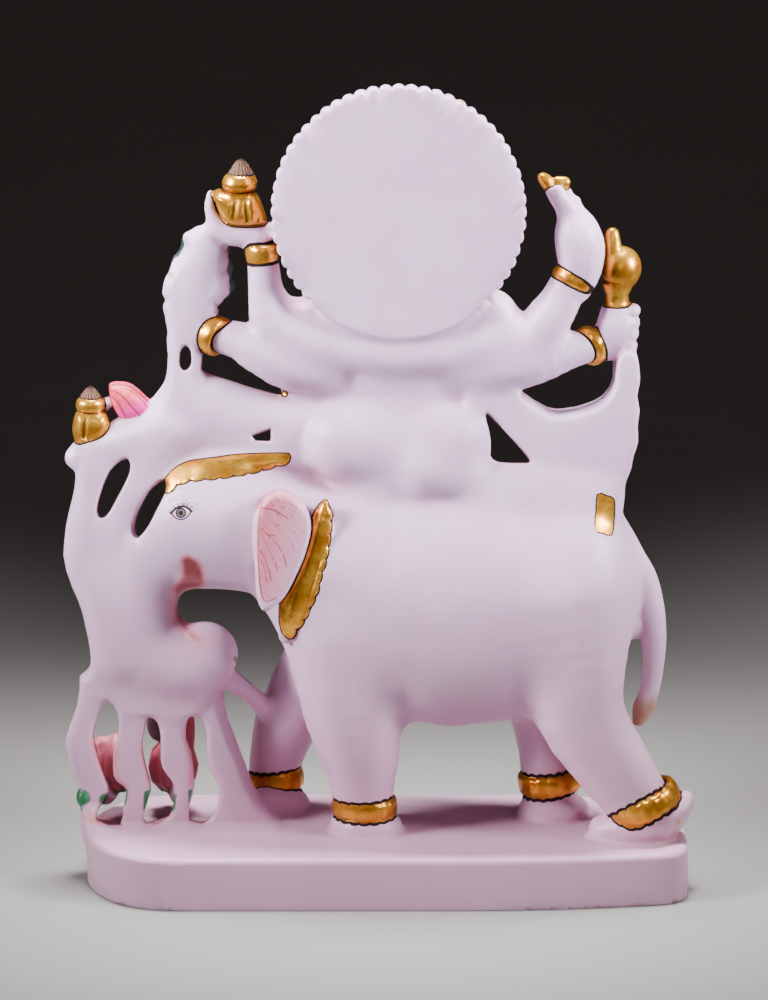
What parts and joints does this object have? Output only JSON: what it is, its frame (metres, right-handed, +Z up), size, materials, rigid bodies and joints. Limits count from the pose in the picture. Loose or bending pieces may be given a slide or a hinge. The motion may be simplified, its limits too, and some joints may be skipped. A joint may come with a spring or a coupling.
{
  "type": "manibhadra idol",
  "caption": "White marble idol carved together with its plinth: a many-armed rider with a scalloped halo disc on a many-trunked elephant, seen from its plain, smooth back.",
  "frame": {"origin": "middle of the plinth's underside", "axes": "+Z up, elephant's head towards -X, rider's face and the carved front towards +Y, plain back towards -Y"},
  "size_m": [0.3525, 0.123, 0.4523],
  "materials": {
    "marble": "polished white marble with a faint lilac grain",
    "gold_paint": "metallic gold paint on raised stone, outlined with a fine black line"
  },
  "bodies": {
    "root": {"idol": "marble"}
  },
  "joints": []
}
